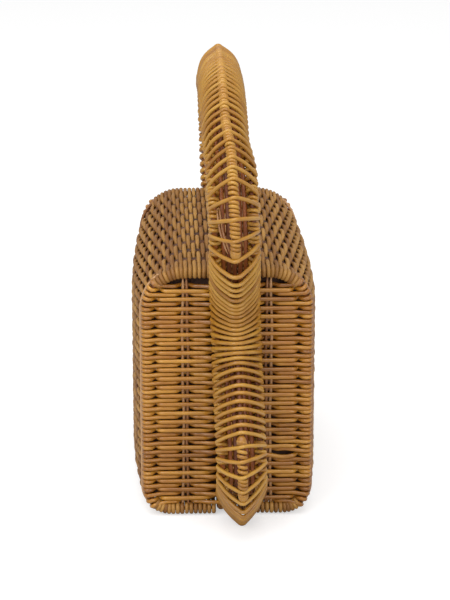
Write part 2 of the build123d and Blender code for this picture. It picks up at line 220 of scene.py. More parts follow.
class Strands:
    """Lengths of cane gathered into one mesh. Each vertex knows how far along and round its strand it is."""

    def __init__(self):
        self.points = []
        self.faces = []
        self.cane = []
        self.count = 0

    def lay(self, line, width, thick=None, normals=None, sides=8, round_ends=False, tint=None):
        """A strand along a line. Width and thick are half sizes, across and along the normals."""
        line = np.asarray(line, float)
        thick = width if thick is None else thick
        along = tangents(line)
        normals = carried_normals(line) if normals is None else np.asarray(normals, float)
        normals = unit(normals - along * (normals * along).sum(1, keepdims=True))
        across = np.cross(along, normals)
        n = len(line)
        size = np.ones(n)
        if round_ends:
            size[0] = size[-1] = 0.45
            size[1] = size[-2] = 0.86
        turn = 2 * math.pi * np.arange(sides) / sides
        width = np.broadcast_to(np.asarray(width, float), (n,)) * size
        thick = np.broadcast_to(np.asarray(thick, float), (n,)) * size
        ring = (
            line[:, None, :]
            + np.cos(turn)[None, :, None] * width[:, None, None] * across[:, None, :]
            + np.sin(turn)[None, :, None] * thick[:, None, None] * normals[:, None, :]
        )
        steps = np.linalg.norm(np.diff(line, axis=0), axis=1)
        way = np.concatenate([[0.0], np.cumsum(steps)])
        chance = CHANCE.random() if tint is None else tint
        cane = np.zeros((n, sides, 3))
        cane[:, :, 0] = way[:, None] + 300 * chance
        cane[:, :, 1] = turn[None, :]
        cane[:, :, 2] = chance
        start = self.count
        k = np.arange(n - 1)[:, None] * sides
        j = np.arange(sides)[None, :]
        following = (j + 1) % sides
        quads = np.stack([k + j, k + following, k + sides + following, k + sides + j], axis=-1)
        self.faces.extend((quads.reshape(-1, 4) + start).tolist())
        self.faces.append(list(range(start + sides - 1, start - 1, -1)))
        self.faces.append(list(range(start + (n - 1) * sides, start + n * sides)))
        self.points.append(ring.reshape(-1, 3))
        self.cane.append(cane.reshape(-1, 3))
        self.count += n * sides

    def make(self, name, body, material, replaces=()):
        """The mesh as a piece that rides on a body."""
        mesh = bpy.data.meshes.new(name)
        mesh.from_pydata((np.concatenate(self.points) * MM).tolist(), [], self.faces)
        mesh.attributes.new("cane", "FLOAT_VECTOR", "POINT")
        mesh.attributes["cane"].data.foreach_set("vector", np.concatenate(self.cane).ravel())
        mesh.shade_smooth()
        mesh.materials.append(material)
        piece = bpy.data.objects.new(name, mesh)
        bpy.context.scene.collection.objects.link(piece)
        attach(piece, body)
        if replaces:
            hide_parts(*replaces)
        return piece


# Materials

def linear(r, g, b):
    """A colour given in 0 to 255 as it looks on a screen."""
    shares = (r / 255, g / 255, b / 255)
    return tuple(((c + 0.055) / 1.055) ** 2.4 if c > 10 / 255 else c / 12.92 for c in shares) + (1.0,)


def cane_material(name, light, mid, dark, rough, coat, variety=0.55):
    """Peeled rattan core: fibres along the strand, a tint of its own for each strand, and lacquer."""
    material = bpy.data.materials.new(name)
    material.use_nodes = True
    nodes = material.node_tree.nodes
    link = material.node_tree.links.new
    shader = nodes["Principled BSDF"]
    shader.inputs["Roughness"].default_value = rough
    shader.inputs["Coat Weight"].default_value = coat
    shader.inputs["Coat Roughness"].default_value = 0.22
    shader.inputs["Specular IOR Level"].default_value = 0.45

    cane = nodes.new("ShaderNodeAttribute")
    cane.attribute_name = "cane"
    parts = nodes.new("ShaderNodeSeparateXYZ")
    link(cane.outputs["Vector"], parts.inputs[0])

    stretch = nodes.new("ShaderNodeVectorMath")
    stretch.operation = "MULTIPLY"
    stretch.inputs[1].default_value = (0.05, 0.9, 40.0)
    link(cane.outputs["Vector"], stretch.inputs[0])
    fibres = nodes.new("ShaderNodeTexNoise")
    fibres.inputs["Scale"].default_value = 3.0
    fibres.inputs["Detail"].default_value = 4.0
    link(stretch.outputs[0], fibres.inputs["Vector"])

    patches = nodes.new("ShaderNodeTexNoise")
    patches.inputs["Scale"].default_value = 0.7
    patches.inputs["Detail"].default_value = 2.0
    slow = nodes.new("ShaderNodeVectorMath")
    slow.operation = "MULTIPLY"
    slow.inputs[1].default_value = (0.12, 0.25, 60.0)
    link(cane.outputs["Vector"], slow.inputs[0])
    link(slow.outputs[0], patches.inputs["Vector"])

    tint = nodes.new("ShaderNodeMath")
    tint.operation = "MULTIPLY_ADD"
    tint.inputs[1].default_value = variety
    tint.inputs[2].default_value = 0.055 - variety / 2
    link(parts.outputs["Z"], tint.inputs[0])
    spread = nodes.new("ShaderNodeMath")
    spread.operation = "MULTIPLY_ADD"
    spread.inputs[1].default_value = 0.5
    link(patches.outputs["Fac"], spread.inputs[0])
    link(tint.outputs[0], spread.inputs[2])
    streak = nodes.new("ShaderNodeMath")
    streak.operation = "MULTIPLY_ADD"
    streak.inputs[1].default_value = 0.35
    link(fibres.outputs["Fac"], streak.inputs[0])
    link(spread.outputs[0], streak.inputs[2])

    ramp = nodes.new("ShaderNodeValToRGB")
    ramp.color_ramp.elements[0].position = 0.12
    ramp.color_ramp.elements[0].color = dark
    ramp.color_ramp.elements[1].position = 0.85
    ramp.color_ramp.elements[1].color = light
    middle = ramp.color_ramp.elements.new(0.45)
    middle.color = mid
    link(streak.outputs[0], ramp.inputs["Fac"])
    link(ramp.outputs["Color"], shader.inputs["Base Color"])

    bump = nodes.new("ShaderNodeBump")
    bump.inputs["Strength"].default_value = 0.25
    bump.inputs["Distance"].default_value = 0.00012
    link(fibres.outputs["Fac"], bump.inputs["Height"])
    link(bump.outputs["Normal"], shader.inputs["Normal"])
    return material


def cloth_material(name, colour, pale):
    """A close plain-weave cloth."""
    material = bpy.data.materials.new(name)
    material.use_nodes = True
    nodes = material.node_tree.nodes
    link = material.node_tree.links.new
    shader = nodes["Principled BSDF"]
    shader.inputs["Roughness"].default_value = 0.85
    shader.inputs["Sheen Weight"].default_value = 0.3
    place = nodes.new("ShaderNodeTexCoord")
    warp = nodes.new("ShaderNodeTexWave")
    warp.bands_direction = "X"
    warp.inputs["Scale"].default_value = 700.0
    warp.inputs["Distortion"].default_value = 1.0
    weft = nodes.new("ShaderNodeTexWave")
    weft.bands_direction = "DIAGONAL"
    weft.inputs["Scale"].default_value = 500.0
    weft.inputs["Distortion"].default_value = 1.0
    cross = nodes.new("ShaderNodeMath")
    cross.operation = "MULTIPLY"
    mottle = nodes.new("ShaderNodeTexNoise")
    mottle.inputs["Scale"].default_value = 60.0
    for texture in (warp, weft, mottle):
        link(place.outputs["Object"], texture.inputs["Vector"])
    link(warp.outputs["Fac"], cross.inputs[0])
    link(weft.outputs["Fac"], cross.inputs[1])
    blend = nodes.new("ShaderNodeMath")
    blend.operation = "MULTIPLY_ADD"
    blend.inputs[1].default_value = 0.6
    link(cross.outputs[0], blend.inputs[0])
    link(mottle.outputs["Fac"], blend.inputs[2])
    mix = nodes.new("ShaderNodeMix")
    mix.data_type = "RGBA"
    mix.inputs["A"].default_value = colour
    mix.inputs["B"].default_value = pale
    link(blend.outputs[0], mix.inputs["Factor"])
    link(mix.outputs["Result"], shader.inputs["Base Color"])
    bump = nodes.new("ShaderNodeBump")
    bump.inputs["Strength"].default_value = 0.4
    bump.inputs["Distance"].default_value = 0.0002
    link(cross.outputs[0], bump.inputs["Height"])
    link(bump.outputs["Normal"], shader.inputs["Normal"])
    return material


def steel_material(name):
    """Nickel-plated steel with a fine brushed grain."""
    material = bpy.data.materials.new(name)
    material.use_nodes = True
    nodes = material.node_tree.nodes
    link = material.node_tree.links.new
    shader = nodes["Principled BSDF"]
    shader.inputs["Metallic"].default_value = 1.0
    place = nodes.new("ShaderNodeTexCoord")
    stretch = nodes.new("ShaderNodeVectorMath")
    stretch.operation = "MULTIPLY"
    stretch.inputs[1].default_value = (60.0, 900.0, 2500.0)
    link(place.outputs["Object"], stretch.inputs[0])
    grain = nodes.new("ShaderNodeTexNoise")
    grain.inputs["Scale"].default_value = 1.0
    link(stretch.outputs[0], grain.inputs["Vector"])
    ramp = nodes.new("ShaderNodeValToRGB")
    ramp.color_ramp.elements[0].color = linear(150, 148, 145)
    ramp.color_ramp.elements[1].color = linear(205, 203, 200)
    link(grain.outputs["Fac"], ramp.inputs["Fac"])
    link(ramp.outputs["Color"], shader.inputs["Base Color"])
    worn = nodes.new("ShaderNodeMapRange")
    worn.inputs["To Min"].default_value = 0.25
    worn.inputs["To Max"].default_value = 0.45
    link(grain.outputs["Fac"], worn.inputs["Value"])
    link(worn.outputs["Result"], shader.inputs["Roughness"])
    return material


def wood_material(name, light, dark):
    """Fine straight-grained wood."""
    material = bpy.data.materials.new(name)
    material.use_nodes = True
    nodes = material.node_tree.nodes
    link = material.node_tree.links.new
    shader = nodes["Principled BSDF"]
    shader.inputs["Roughness"].default_value = 0.45
    place = nodes.new("ShaderNodeTexCoord")
    stretch = nodes.new("ShaderNodeVectorMath")
    stretch.operation = "MULTIPLY"
    stretch.inputs[1].default_value = (40.0, 500.0, 500.0)
    link(place.outputs["Object"], stretch.inputs[0])
    grain = nodes.new("ShaderNodeTexNoise")
    grain.inputs["Scale"].default_value = 1.0
    grain.inputs["Detail"].default_value = 5.0
    link(stretch.outputs[0], grain.inputs["Vector"])
    ramp = nodes.new("ShaderNodeValToRGB")
    ramp.color_ramp.elements[0].position = 0.3
    ramp.color_ramp.elements[0].color = dark
    ramp.color_ramp.elements[1].position = 0.7
    ramp.color_ramp.elements[1].color = light
    link(grain.outputs["Fac"], ramp.inputs["Fac"])
    link(ramp.outputs["Color"], shader.inputs["Base Color"])
    bump = nodes.new("ShaderNodeBump")
    bump.inputs["Strength"].default_value = 0.3
    bump.inputs["Distance"].default_value = 0.0002
    link(grain.outputs["Fac"], bump.inputs["Height"])
    link(bump.outputs["Normal"], shader.inputs["Normal"])
    return material


shell_cane = cane_material(
    "shell_cane", linear(186, 139, 68), linear(156, 109, 47), linear(118, 72, 25), 0.55, 0.05
)
panel_cane = cane_material(
    "panel_cane", linear(208, 151, 52), linear(166, 107, 24), linear(122, 70, 11), 0.33, 0.55, 0.4
)
# The ribs' cane is the weave's cane made about a third darker: painted shade, for the shadow the ribs sit in
# behind the weave.
rib_cane_painted_shade = cane_material("rib_cane_painted_shade", linear(134, 84, 38), linear(96, 53, 20), linear(64, 32, 10), 0.55, 0.1)
stake_cane = cane_material(
    "stake_cane", linear(204, 160, 112), linear(168, 116, 70), linear(116, 70, 36), 0.4, 0.3
)
handle_cane = cane_material(
    "handle_cane", linear(202, 156, 64), linear(175, 122, 38), linear(132, 78, 17), 0.38, 0.35, 0.3
)
core_cane = cane_material("core_cane", linear(166, 94, 30), linear(130, 67, 17), linear(88, 41, 8), 0.5, 0.2)
lining_cloth = cloth_material("lining_cloth", linear(60, 36, 25), linear(82, 55, 42))
catch_wood = wood_material("catch_wood", linear(168, 122, 70), linear(118, 76, 38))
magnet_steel = steel_material("magnet_steel")


# Body

def section(x):
    """Half the depth of the body at a station, the height of its roof, and the radius of its top corner."""
    swell = 1 - (x / (BODY_LENGTH / 2)) ** 2
    depth = END_DEPTH / 2 + (BELLY_DEPTH - END_DEPTH) / 2 * swell
    return depth, BODY_HEIGHT + ROOF_CROWN * swell, TOP_RADIUS + (TOP_RADIUS_MIDDLE - TOP_RADIUS) * swell


def girth(x, share, edge=SEAM_EDGE):
    """The point and outward angle at a share of the way round a half section, from roof seam to bottom."""
    depth, height, top = section(x)
    roof = depth - top - edge
    top_bend = top * math.pi / 2
    wall = height - top - LOW_RADIUS
    low_bend = LOW_RADIUS * math.pi / 2
    floor = depth - LOW_RADIUS - edge
    way = share * (roof + top_bend + wall + low_bend + floor)
    if way <= roof:
        return edge + way, height, math.pi / 2
    way -= roof
    if way <= top_bend:
        a = math.pi / 2 - way / top
        return depth - top + top * math.cos(a), height - top + top * math.sin(a), a
    way -= top_bend
    if way <= wall:
        return depth, height - top - way, 0.0
    way -= wall
    if way <= low_bend:
        a = -way / LOW_RADIUS
        return depth - LOW_RADIUS + LOW_RADIUS * math.cos(a), LOW_RADIUS + LOW_RADIUS * math.sin(a), a
    way -= low_bend
    return depth - LOW_RADIUS - way, 0.0, -math.pi / 2


def on_girth(x, share, inset, edge=SEAM_EDGE):
    """A point inset from the body's skin, and the skin's normal there."""
    y, z, a = girth(x, share, edge)
    normal = (0.0, math.cos(a), math.sin(a))
    return (x, y - inset * normal[1], z - inset * normal[2]), normal


def smooth(t):
    """0 to 1 with no corners."""
    t = min(1.0, max(0.0, t))
    return t * t * (3 - 2 * t)


rib_xs = [RIB_PITCH * (k - (RIB_COUNT - 1) / 2) for k in range(RIB_COUNT)]


def weave_wave(x, phase):
    """Where a weaver is between the inside, -1, and the outside, 1, of the ribs. Its dives are short."""
    turn = math.cos(math.pi * ((x - rib_xs[0]) / RIB_PITCH + phase))
    return 1 - 2 * ((1 - turn) / 2) ** DIVE_SHARPNESS


def mirrored(line, side):
    """The same line in the front shell."""
    line = np.array(line, float)
    line[:, 1] *= side
    return line


TURN_TOP = math.radians(42)
TURN_LOW = math.radians(-42)


def lay_weave(side, shell):
    """The walls: cane that runs along the bag over and under the ribs, and turns round the end frames."""
    last_rib = rib_xs[-1]
    weave = Strands()
    for k in range(WEAVERS):
        share = (k + 0.5) / WEAVERS
        phase = k % 2
        drift = CHANCE.uniform(-0.0006, 0.0006)
        radius = CANE_RADIUS * CHANCE.uniform(0.94, 1.05)
        lift = CHANCE.uniform(-0.12, 0.12)
        angle = girth(FRAME_X, share)[2]
        turns_over = angle > TURN_TOP or angle < TURN_LOW
        line = []
        normals = []
        reach = FRAME_X if turns_over else WEAVER_STOP
        for i in range(WEAVER_STEPS + 1):
            x = -reach + 2 * reach * i / WEAVER_STEPS
            wave = weave_wave(x, phase)
            beyond = smooth((abs(x) - last_rib - 1.5) / (reach - last_rib - 3.0))
            goal = 1.0 if turns_over else -0.1
            wave = wave * (1 - beyond) + goal * beyond
            jitter = WEAVER_JITTER * math.sin(x / 9.0 + k * 1.7)
            inset = RIB_DEPTH - WAVE * wave + lift + jitter
            point, normal = on_girth(x, share + drift * math.sin(x / 25.0 + k), inset)
            line.append(point)
            normals.append(normal)
        if turns_over:
            for end in (1, -1):
                centre, normal = on_girth(end * FRAME_X, share, FRAME_RADIUS)
                centre = np.array(centre)
                normal = np.array(normal)
                out = np.array((end, 0.0, 0.0))
                turn = []
                for i in range(1, 11):
                    a = math.radians(90 - WRAP_TURN_STEP * i)
                    turn.append(centre + WRAP_ROUND * (math.cos(a) * out + math.sin(a) * normal))
                turned = [unit(p - centre) for p in turn]
                if end == 1:
                    line = line + turn
                    normals = normals + turned
                else:
                    line = turn[::-1] + line
                    normals = turned[::-1] + normals
        weave.lay(mirrored(line, side), radius, radius * 0.94, mirrored(normals, side), sides=7)
    weave.make(f"{shell}_weave", f"{shell}_shell", shell_cane, [f"{shell}_woven_shell"])


def lay_ribs(side, shell):
    """The ribs: pairs of thin rods behind the weave."""
    ribs = Strands()
    for x in rib_xs:
        for offset in (-RIB_ROD_APART / 2, RIB_ROD_APART / 2):
            line, normals = zip(*[on_girth(x + offset, i / 72, RIB_DEPTH) for i in range(73)])
            ribs.lay(mirrored(line, side), RIB_ROD_RADIUS, None, mirrored(normals, side), sides=6)
    nodes = [f"{shell}_rib_{n + 1}" for n in range(RIB_COUNT)]
    # The ribs take the darker cane, which is painted shade.
    ribs.make(f"{shell}_ribs", f"{shell}_shell", rib_cane_painted_shade, nodes)


def lay_end_frames(side, shell):
    """The core that the ends of the cane wrap, and a thin rod beside it along the walls."""
    core = Strands()
    edges = Strands()
    for end in (1, -1):
        line, normals = zip(*[on_girth(end * FRAME_X, i / 90, FRAME_RADIUS) for i in range(91)])
        normals = mirrored(normals, side)
        core.lay(mirrored(line, side), POST_CORE_RADIUS, None, normals, sides=8, round_ends=True)
        shares = [i / 120 for i in range(121) if abs(girth(FRAME_X, i / 120)[2]) < INNER_ROD_TURN]
        line, normals = zip(*[on_girth(end * INNER_ROD_X, s, INNER_ROD_INSET) for s in shares])
        normals = mirrored(normals, side)
        edges.lay(mirrored(line, side), INNER_ROD_RADIUS, None, normals, sides=7, round_ends=True)
    core.make(
        f"{shell}_end_frame_cores", f"{shell}_shell", core_cane,
        [f"{shell}_end_frame_left", f"{shell}_end_frame_right"],
    )
    edges.make(f"{shell}_end_edge_rods", f"{shell}_shell", stake_cane)


def lay_end_panels(side, shell):
    """The halves of the end panels: level rows of cane over the posts and round the stakes."""
    for end, name in ((1, "right"), (-1, "left")):
        rows = Strands()
        pitch = (ROWS_HIGH - ROWS_LOW) / (ROWS - 1)
        for k in range(ROWS):
            z = ROWS_LOW + k * pitch + CHANCE.uniform(-0.22, 0.22)
            over_post = k % 2 == 0
            slope = CHANCE.uniform(-0.35, 0.35)
            radius = CANE_RADIUS * CHANCE.uniform(0.93, 1.04)
            if z > BODY_HEIGHT - TOP_RADIUS:
                bend_y = END_DEPTH / 2 - TOP_RADIUS
                bend_z = BODY_HEIGHT - TOP_RADIUS
                bend_r = TOP_RADIUS - FRAME_RADIUS
            elif z < LOW_RADIUS:
                bend_y = END_DEPTH / 2 - LOW_RADIUS
                bend_z = LOW_RADIUS
                bend_r = LOW_RADIUS - FRAME_RADIUS
            else:
                bend_y = END_DEPTH / 2 - FRAME_RADIUS
                bend_z = z
                bend_r = 0.0
            theta = math.asin(max(-0.98, min(0.98, (z - bend_z) / bend_r))) if bend_r else 0.0
            post_y = bend_y + bend_r * math.cos(theta)
            fan = math.sin(theta)
            line = []
            normals = []
            # Round the outer post, from the wall side to the front
            for i in range(9):
                a = math.radians(ROW_TURN - ROW_TURN * i / 8)
                out = WRAP_ROUND * math.sin(a)
                point = (
                    end * (FRAME_X + WRAP_ROUND * math.cos(a)),
                    post_y + out * math.cos(theta),
                    z + (out + ROW_FAN) * fan,
                )
                line.append(point)
                normals.append((end * math.cos(a), math.sin(a) * math.cos(theta), math.sin(a) * fan))
            # Across the panel to the middle post
            span = post_y - RIM_Y
            for i in range(1, ROW_STEPS + 1):
                y = post_y - span * i / ROW_STEPS
                inward = post_y - y
                if over_post:
                    ease = smooth(inward / ROW_EASE) * (1 - smooth((STAKE_Y - ROW_EASE - y) / ROW_EASE))
                    dive = smooth((DIVE_REACH - abs(y - STAKE_Y)) / DIVE_EASE)
                    x = POST_X + (EASED_X - POST_X) * ease
                    x += (BEHIND_X - x) * dive
                else:
                    dip = math.exp(-((inward - DIP_AT) / DIP_REACH) ** 2)
                    rise = smooth((inward - DIP_AT) / 4.0)
                    x = POST_X * (1 - rise) + FRONT_X * rise - DIP_DEPTH * dip
                    x -= (FRONT_X - MIDDLE_X) * smooth((MIDDLE_FROM - y) / MIDDLE_EASE)
                fall = ROW_FAN * fan * (1 - smooth(inward / 9.0))
                if shell == "back" and end == 1:
                    away = math.copysign(1.0, z - LOOSE_Z)
                    near = math.exp(
                        -((z - LOOSE_Z) / LOOSE_REACH_Z) ** 2 - ((y - LOOSE_Y) / LOOSE_REACH_Y) ** 2
                    )
                    fall += LOOSE_OPENS * away * near
                line.append((end * x, y, z + fall + slope * inward / span))
                normals.append((end, 0.0, 0.0))
            if over_post:
                for i in range(1, 6):
                    a = math.radians(90 - 28 * i)
                    y = RIM_Y - 2.2 * math.cos(a)
                    x = FRAME_X + 2.3 * math.sin(a)
                    line.append((end * x, y, z + slope))
                    normals.append((end * math.sin(a), -math.cos(a), 0.0))
                taper = [1.0] * (len(line) - 7) + [0.95, 0.88, 0.8, 0.76, 0.74, 0.72, 0.7]
            else:
                taper = [1.0] * len(line)
            rows.lay(
                mirrored(line, side),
                radius * np.array(taper),
                radius * np.array(taper) * 0.95,
                mirrored(normals, side),
                sides=8,
            )
        panel = f"{shell}_end_panel_{name}"
        rows.make(f"{shell}_end_rows_{name}", f"{shell}_shell", panel_cane, [panel])
        stakes = Strands()
        for offset in (-STAKE_APART / 2, STAKE_APART / 2):
            line = []
            for i in range(40):
                z = STAKE_LOW + STAKE_LENGTH * i / 39
                wander = 0.35 * math.sin(z / 17.0 + offset) + 0.2 * math.sin(z / 6.0)
                line.append((end * STAKE_X, side * (STAKE_Y + offset + wander), z))
            stakes.lay(line, STAKE_RADIUS, sides=8, round_ends=True)
        pair = f"{shell}_stakes_{name}"
        stakes.make(f"{shell}_end_stakes_{name}", f"{shell}_shell", stake_cane, [pair])


def rim_corner(x, z, first):
    """A rounded corner of the seam rim's line, round a centre, from the angle it starts at in degrees."""
    turns = [math.radians(first - 90 * i / 9) for i in range(1, 9)]
    return [(x + RIM_CORNER * math.cos(a), RIM_Y, z + RIM_CORNER * math.sin(a)) for a in turns]


def rim_line():
    """The seam rim's line: along the roof, down the right end, back along the bottom and up the left end."""
    reach = FRAME_X - RIM_CORNER
    high = RIM_Z_HIGH - RIM_CORNER
    low = RIM_Z_LOW + RIM_CORNER
    path = []
    for x in np.linspace(-reach, reach, 60):
        path.append((x, RIM_Y, RIM_Z_HIGH + ROOF_CROWN * (1 - (x / FRAME_X) ** 2) * RIM_CROWN))
    path += rim_corner(reach, high, 90)
    path += [(FRAME_X, RIM_Y, z) for z in np.linspace(high, low, 40)]
    path += rim_corner(reach, low, 0)
    path += [(x, RIM_Y, RIM_Z_LOW) for x in np.linspace(reach, -reach, 60)]
    path += rim_corner(-reach, low, -90)
    path += [(-FRAME_X, RIM_Y, z) for z in np.linspace(low, high, 40)]
    path += rim_corner(-reach, high, 180)
    return np.array(path + [path[0]])


def lay_rim(side, shell):
    """The seam rim: a rod bound with flat cane, except where the panel rows or a hinge loop bind it."""
    rim = Strands()
    path = rim_line()
    thick = [RIM_UPRIGHT_RADIUS if abs(x) > FRAME_X - 0.5 else RIM_ROD_RADIUS for x, _, _ in path]
    rim.lay(mirrored(path, side), thick, None, [(0.0, 1.0, 0.0)] * len(path), sides=8)
    steps = np.concatenate([[0.0], np.cumsum(np.linalg.norm(np.diff(path, axis=0), axis=1))])

    def rim_at(way):
        return np.array([np.interp(way, steps, path[:, c]) for c in range(3)])

    way = 1.5
    while way < steps[-1] - 1.5:
        line = []
        normals = []
        middle = rim_at(way)
        upright = abs(middle[0]) > FRAME_X - 1.0 and RIM_Z_LOW + 6 < middle[2] < RIM_Z_HIGH - 6
        at_loop = middle[2] < RIM_Z_LOW + 1 and abs(abs(middle[0]) - HINGE_X) < HINGE_BAY
        if not upright and not at_loop:
            for i in range(13):
                share = i / 12
                here_way = way + RIM_TURN_ADVANCE * (share - 0.5)
                here = rim_at(here_way)
                along = unit(rim_at(here_way + 0.4) - here)
                sideways = np.array((0.0, 1.0, 0.0))
                outward = np.cross(along, sideways)
                a = 2 * math.pi * share
                normal = math.cos(a) * sideways + math.sin(a) * outward
                line.append(here + RIM_TURN_ROUND * normal)
                normals.append(normal)
            rim.lay(mirrored(line, side), RIM_TURN_WIDTH, RIM_TURN_THICK, mirrored(normals, side), sides=6)
        way += RIM_TURN_PITCH
    rim.make(f"{shell}_rim_binding", f"{shell}_shell", panel_cane, [f"{shell}_seam_rim"])


def lay_lining(side, shell):
    """A cloth tray sewn inside the ribs, with end walls."""
    last_column = LINING_COLUMNS - 1
    points = []
    for i in range(-LINING_WALL_STEPS, LINING_COLUMNS + LINING_WALL_STEPS):
        on_wall = i < 0 or i > last_column
        x = -LINING_END + 2 * LINING_END * min(last_column, max(0, i)) / last_column
        depth_in = max(-i, i - last_column) / LINING_WALL_STEPS if on_wall else 0.0
        for j in range(LINING_ROUNDS + 1):
            share = j / LINING_ROUNDS
            pucker = LINING_PUCKER * math.sin(x / 7.0 + 5 * share) * math.sin(9.5 * share + x / 23.0)
            inset = LINING_INSET + (0.0 if on_wall else LINING_FACE_INSET + pucker)
            px, py, pz = on_girth(x, share, inset, LINING_EDGE)[0]
            if on_wall:
                goal_z = min(LINING_WALL_HIGH, max(LINING_WALL_LOW, pz))
                py = py + (LINING_WALL_EDGE - py) * depth_in
                pz = pz + (goal_z - pz) * depth_in
            points.append((px, side * py, pz))
    width = LINING_ROUNDS + 1
    faces = []
    for i in range(last_column + 2 * LINING_WALL_STEPS):
        for j in range(LINING_ROUNDS):
            a = i * width + j
            faces.append((a, a + 1, a + width + 1, a + width))
    mesh = bpy.data.meshes.new(f"{shell}_lining_cloth")
    mesh.from_pydata((np.array(points) * MM).tolist(), [], faces)
    mesh.shade_smooth()
    mesh.materials.append(lining_cloth)
    cloth = bpy.data.objects.new(f"{shell}_lining_cloth", mesh)
    bpy.context.scene.collection.objects.link(cloth)
    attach(cloth, f"{shell}_shell")
    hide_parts(f"{shell}_lining")


for side, shell in ((1, "back"), (-1, "front")):
    lay_weave(side, shell)
    lay_ribs(side, shell)
    lay_end_frames(side, shell)
    lay_end_panels(side, shell)
    lay_rim(side, shell)
    lay_lining(side, shell)

for shell in ("back", "front"):
    for node, material in ((f"{shell}_catch_block", catch_wood), (f"{shell}_catch_magnet", magnet_steel)):
        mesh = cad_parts[node].data
        mesh.materials.clear()
        mesh.materials.append(material)


# Handle

def direction(tilt):
    """The handle's outward direction in the XZ plane."""
    return np.array((math.cos(math.radians(tilt)), 0.0, math.sin(math.radians(tilt))))


def flank_centre(tilt, height, radius):
    """Centre of an outer bend that touches one of the handle's straight flanks."""
    out = direction(tilt)
    flank = waist[0] * out[0] + waist[2] * out[2] - WAIST_RADIUS
    return np.array(((flank - radius - height * out[2]) / out[0], 0.0, height))


waist = np.array((BODY_LENGTH / 2 + PANEL_TO_ROD + WAIST_RADIUS, 0.0, BODY_HEIGHT - WAIST_BELOW_ROOF))
shoulder = flank_centre(UPPER_TILT, BODY_HEIGHT + SHOULDER_ABOVE_ROOF, SHOULDER_RADIUS)
lobe = flank_centre(LOWER_TILT, LOBE_ABOVE_GROUND, LOBE_RADIUS)
handle_top = BODY_HEIGHT + HANDLE_ABOVE_ROOF
crown_reach = handle_top - SHOULDER_RADIUS
crown_z = (shoulder[0] ** 2 + shoulder[2] ** 2 - crown_reach**2) / (2 * (shoulder[2] - crown_reach))
crown = np.array((0.0, 0.0, crown_z))
crown_tilt = math.degrees(math.atan2(shoulder[2] - crown[2], shoulder[0]))
bends = [
    (crown, handle_top - crown[2], 90.0, crown_tilt),
    (shoulder, SHOULDER_RADIUS, crown_tilt, UPPER_TILT),
    (waist, -WAIST_RADIUS, UPPER_TILT, LOWER_TILT),
    (lobe, LOBE_RADIUS, LOWER_TILT, FOOT_TILT),
]

# Runs of the edge rods' line on one side: length, start, bend or None, first and last tilt
runs = []
for centre, radius, first, last in bends:
    start = centre + radius * direction(first)
    if runs:
        bend, _, tilt = runs[-1][2:]
        end = bend[0] + bend[1] * direction(tilt)
        gap = np.linalg.norm(start - end)
        if gap > 0.01:
            runs.append((gap, end, None, first, first))
    runs.append((abs(radius * math.radians(last - first)), start, (centre, radius), first, last))
foot_start = bends[-1][0] + bends[-1][1] * direction(FOOT_TILT)
foot_out = direction(FOOT_TILT)
foot_end_x = BODY_LENGTH / 2 + CLEARANCE + EDGE_ROD_RADIUS * foot_out[0]
foot_length = (foot_start[0] - foot_end_x) / -foot_out[2]
runs.append((foot_length, foot_start, None, FOOT_TILT, FOOT_TILT))
half_length = sum(run[0] for run in runs)


def handle_at(way):
    """The point and tilt at a distance from the crown's middle along the edge rods' line."""
    left = abs(way)
    for length, start, bend, first, last in runs:
        if left <= length or start is runs[-1][1]:
            share = left / length
            tilt = first + (last - first) * share
            if bend:
                point = bend[0] + bend[1] * direction(tilt)
            else:
                out = direction(first)
                point = start + left * np.array((out[2], 0.0, -out[0]))
            break
        left -= length
    if way < 0:
        point = point * np.array((-1.0, 1.0, 1.0))
        tilt = 180 - tilt
    return point, tilt


def lean(p):
    """The handle stands behind the middle at its feet, and leans forward."""
    c, s = math.cos(HANDLE_LEAN), math.sin(HANDLE_LEAN)
    x, y, z = p
    return np.array((x, HANDLE_OFFSET + c * y - s * z, s * y + c * z))


def on_handle(way, y, rise):
    """A point of the handle, by the way along it, sideways and outwards. The hoop's top is hand bent."""
    point, tilt = handle_at(way)
    at_top = 1 - smooth((abs(way) - TOP_HALF) / TOP_FADE)
    sideways = y * (1 - TOP_NARROWS * at_top) - TOP_BEND * at_top
    return lean(point + rise * direction(tilt) + np.array((0.0, sideways, -TOP_SINKS * at_top)))


def bow_at(way):
    """How far a wrap's legs stand out from the straight line between the rods they cross."""
    return WRAP_BOW + (TOP_WRAP_BOW - WRAP_BOW) * (1 - smooth((abs(way) - TOP_HALF) / TOP_FADE))


# How far apart the wraps of the handle stand: distance from the crown's middle, and the gap there
WRAP_SPACING = (
    (0.0, 5.0), (60.0, 5.4), (90.0, 6.0), (110.0, 6.8), (130.0, 7.4), (147.0, 7.4), (160.0, 5.0),
    (215.0, 4.4), (240.0, 4.8), (285.0, 4.8), (296.0, 5.4), (312.0, 4.6), (345.0, 4.6),
)


def spacing_at(way):
    """The gap between two wraps at a distance from the crown's middle."""
    ways, gaps = zip(*WRAP_SPACING)
    return float(np.interp(abs(way), ways, gaps))


